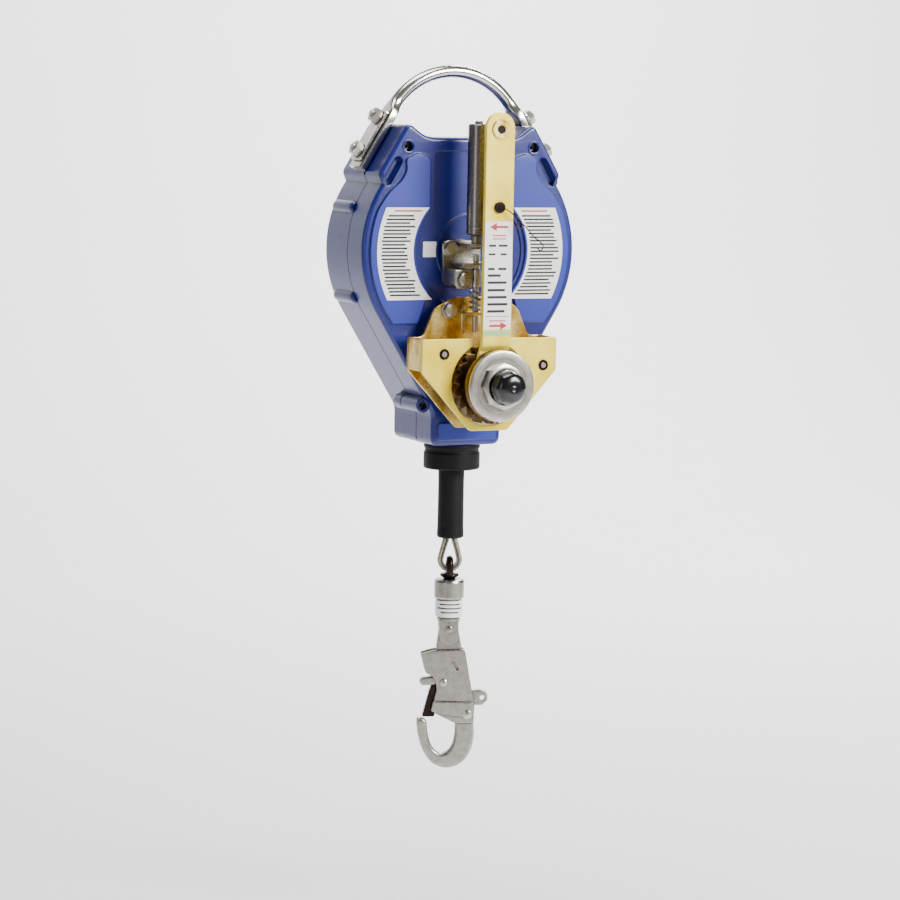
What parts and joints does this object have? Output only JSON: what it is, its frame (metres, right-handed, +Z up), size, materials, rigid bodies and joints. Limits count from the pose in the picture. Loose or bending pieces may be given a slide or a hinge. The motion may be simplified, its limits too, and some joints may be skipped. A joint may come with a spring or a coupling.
{
  "type": "self retracting lifeline",
  "caption": "Hanging self retracting lifeline in a cast blue case, with a retrieval winch and a stowed lift-out hand grip in front and a swivel snap hook on a wire rope.",
  "frame": {"origin": "inner top of the anchor handle's arch, where the anchor connector bears", "axes": "+Z up, -Y towards the side with the crank, X left to right along the anchor handle's arch"},
  "size_m": [0.238, 0.1955, 0.7237],
  "materials": {
    "blue_enamel": "gloss",
    "stainless": "polished",
    "zinc_steel": "satin",
    "yellow_zinc": "satin",
    "bronze": "satin",
    "dark_steel": "satin",
    "rubber": "matte",
    "black_plastic": "gloss",
    "white_plastic": "satin",
    "spring_steel": "satin",
    "cast_alloy": "matte",
    "wire_rope": "satin"
  },
  "bodies": {
    "housing": {"front_shell": "blue_enamel", "rear_shell": "blue_enamel", "shell_gasket": "rubber", "anchor_handle": "stainless", "left_strap": "stainless", "right_strap": "stainless", "left_handle_bolt_1": "zinc_steel", "left_handle_bolt_2": "zinc_steel", "right_handle_bolt_1": "zinc_steel", "right_handle_bolt_2": "zinc_steel", "nozzle_collar": "rubber", "rope_guide_bush": "bronze", "front_bearing": "zinc_steel", "rear_bearing": "zinc_steel", "spring_case": "zinc_steel", "power_spring": "spring_steel", "brake_ring": "bronze", "winch_bracket": "yellow_zinc", "winch_front_plate": "yellow_zinc", "pawl_pin_left": "zinc_steel", "pawl_pin_right": "zinc_steel", "bracket_bolt_left": "zinc_steel", "bracket_bolt_right": "zinc_steel", "bracket_bolt_upper": "zinc_steel", "grip_bracket": "zinc_steel", "clamp_block": "zinc_steel", "latch_spring": "spring_steel"},
    "drum": {"cable_drum": "cast_alloy", "drum_shaft": "stainless", "lifeline_winding": "wire_rope"},
    "speed_pawl_a": {"speed_pawl_left": "dark_steel"},
    "speed_pawl_b": {"speed_pawl_right": "dark_steel"},
    "lifeline": {"lifeline_run": "wire_rope", "rope_ferrule": "zinc_steel", "bumper_sleeve": "rubber", "thimble": "zinc_steel"},
    "bail": {"swivel_bail": "dark_steel"},
    "hook": {"swivel_body": "zinc_steel", "swivel_band": "white_plastic", "swivel_clevis": "zinc_steel", "hook_body": "zinc_steel", "gate_pin": "zinc_steel", "lever_pin": "zinc_steel"},
    "gate": {"hook_gate": "dark_steel"},
    "lever": {"lock_lever": "zinc_steel"},
    "ratchet": {"ratchet_wheel": "bronze"},
    "pawl_a": {"winch_pawl_left": "dark_steel"},
    "pawl_b": {"winch_pawl_right": "dark_steel"},
    "crank": {"crank_shaft": "dark_steel", "brake_drum": "bronze", "clamp_disc": "zinc_steel", "disc_nut": "zinc_steel", "crank_arm": "yellow_zinc", "arm_bushing": "zinc_steel"},
    "shifter": {"shift_knob": "black_plastic", "pinion": "dark_steel"},
    "lock_pin": {"arm_lock_pin": "zinc_steel", "seal_wire": "wire_rope"},
    "grip": {"hand_grip": "dark_steel"},
    "plunger": {"latch_plunger": "zinc_steel"}
  },
  "joints": [
    {"name": "lifeline_payout", "type": "slide", "parent": "housing", "child": "lifeline", "axis": [0, 0, -1], "range_m": [0, 0.1], "stiffness_N_per_m": 100, "springref_m": -0.3},
    {"name": "drum_spin", "type": "hinge", "parent": "housing", "child": "drum", "pos_m": [0, 0, -0.1735], "axis": [0, 1, 0], "range_deg": [-2, 75]},
    {"name": "speed_pawl_a_swing", "type": "hinge", "parent": "drum", "child": "speed_pawl_a", "pos_m": [-0.046, -0.0348, -0.1735], "axis": [0, 1, 0], "range_deg": [0, 18], "stiffness_Nm_per_rad": 0.01, "springref_deg": -11.46},
    {"name": "speed_pawl_b_swing", "type": "hinge", "parent": "drum", "child": "speed_pawl_b", "pos_m": [0.046, -0.0348, -0.1735], "axis": [0, 1, 0], "range_deg": [0, 18], "stiffness_Nm_per_rad": 0.01, "springref_deg": -11.46},
    {"name": "thimble_swing", "type": "hinge", "parent": "lifeline", "child": "bail", "pos_m": [0, -0.0125, -0.493], "axis": [-0.3746, -0.9272, 0], "range_deg": [-40, 40]},
    {"name": "swivel_spin", "type": "hinge", "parent": "bail", "child": "hook", "pos_m": [0, -0.0125, -0.5185], "axis": [0, 0, 1], "continuous": true},
    {"name": "gate_open", "type": "hinge", "parent": "hook", "child": "gate", "pos_m": [-0.00417, -0.01081, -0.6205], "axis": [-0.3746, -0.9272, 0], "range_deg": [0, 25], "stiffness_Nm_per_rad": 0.3, "springref_deg": -22.92},
    {"name": "lever_press", "type": "hinge", "parent": "hook", "child": "lever", "pos_m": [0.01901, -0.02018, -0.6535], "axis": [-0.3746, -0.9272, 0], "range_deg": [0, 10], "stiffness_Nm_per_rad": 0.3, "springref_deg": -22.92},
    {"name": "ratchet_spin", "type": "hinge", "parent": "housing", "child": "ratchet", "pos_m": [0, -0.09, -0.3035], "axis": [0, -1, 0], "continuous": true},
    {"name": "winch_pawl_left_swing", "type": "hinge", "parent": "housing", "child": "pawl_a", "pos_m": [-0.051, -0.087, -0.2731], "axis": [0, -1, 0], "range_deg": [0, 15], "stiffness_Nm_per_rad": 0.05, "springref_deg": -17.19},
    {"name": "winch_pawl_right_swing", "type": "hinge", "parent": "housing", "child": "pawl_b", "pos_m": [0.0602, -0.087, -0.286], "axis": [0, 1, 0], "range_deg": [0, 15], "stiffness_Nm_per_rad": 0.05, "springref_deg": -17.19},
    {"name": "crank_spin", "type": "hinge", "parent": "housing", "child": "crank", "pos_m": [0, -0.105, -0.3035], "axis": [0, -1, 0], "continuous": true},
    {"name": "knob_shift", "type": "slide", "parent": "crank", "child": "shifter", "axis": [0, 1, 0], "range_m": [0, 0.005], "stiffness_N_per_m": 500, "springref_m": -0.01},
    {"name": "lock_pin_pull", "type": "slide", "parent": "crank", "child": "lock_pin", "axis": [0, -1, 0], "range_m": [0, 0.01], "stiffness_N_per_m": 300, "springref_m": -0.01},
    {"name": "grip_lift", "type": "slide", "parent": "housing", "child": "grip", "axis": [0, 0, 1], "range_m": [0, 0.12]},
    {"name": "latch_pull", "type": "slide", "parent": "housing", "child": "plunger", "axis": [0, 0, -1], "range_m": [0, 0.006], "stiffness_N_per_m": 400, "springref_m": -0.008, "deforming": ["latch_spring"]}
  ],
  "couplings": [
    {"joint": "drum_spin", "follows": "lifeline_payout", "rad_per_m": 12.6}
  ]
}
